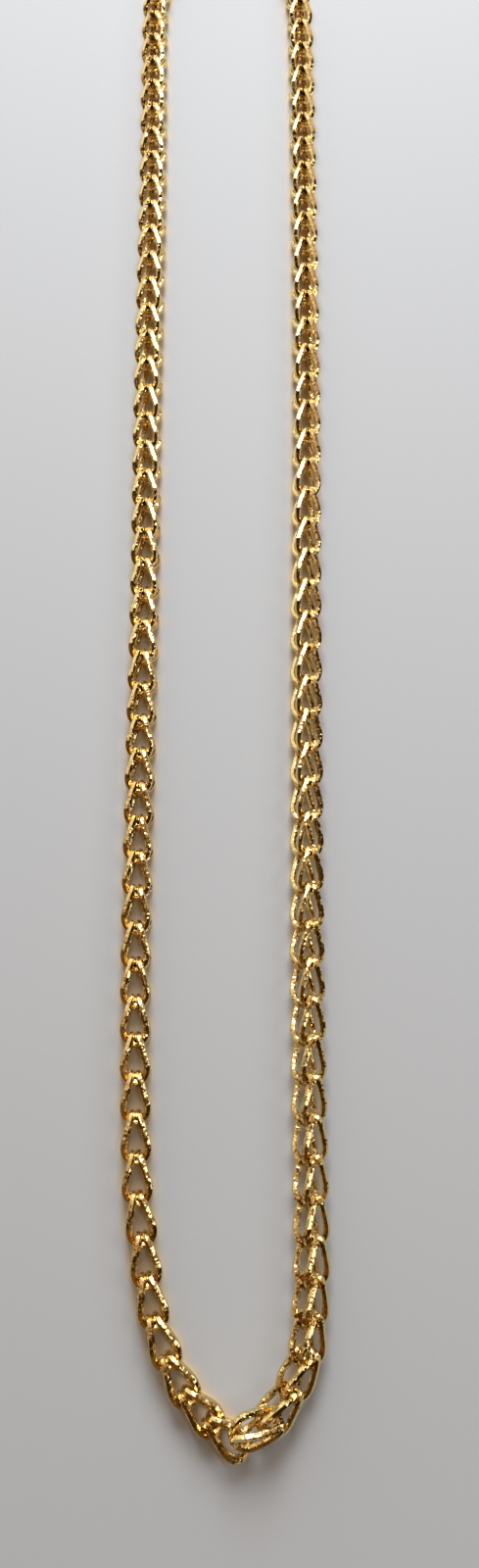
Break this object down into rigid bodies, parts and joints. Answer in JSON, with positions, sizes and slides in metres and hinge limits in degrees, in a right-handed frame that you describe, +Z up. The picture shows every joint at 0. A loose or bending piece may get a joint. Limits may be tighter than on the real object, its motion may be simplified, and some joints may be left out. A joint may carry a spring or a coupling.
{
  "type": "neck chain",
  "caption": "Neck chain of folded wire links passing through each other, closed by a plain barrel clasp, lying in a long narrow loop.",
  "frame": {"origin": "middle of the necklace's outline on the surface that it lies on", "axes": "+Z up from the surface, +Y along the two strands from the foot of the loop to the clasp, +X to the right strand"},
  "size_m": [0.0258, 0.2158, 0.0053],
  "materials": {
    "chain_gold": "polished, with small cut facets along the wire",
    "clasp_gold": "polished"
  },
  "bodies": {
    "root": {"left_chain": "chain_gold", "right_chain": "chain_gold", "clasp": "clasp_gold"}
  },
  "joints": []
}
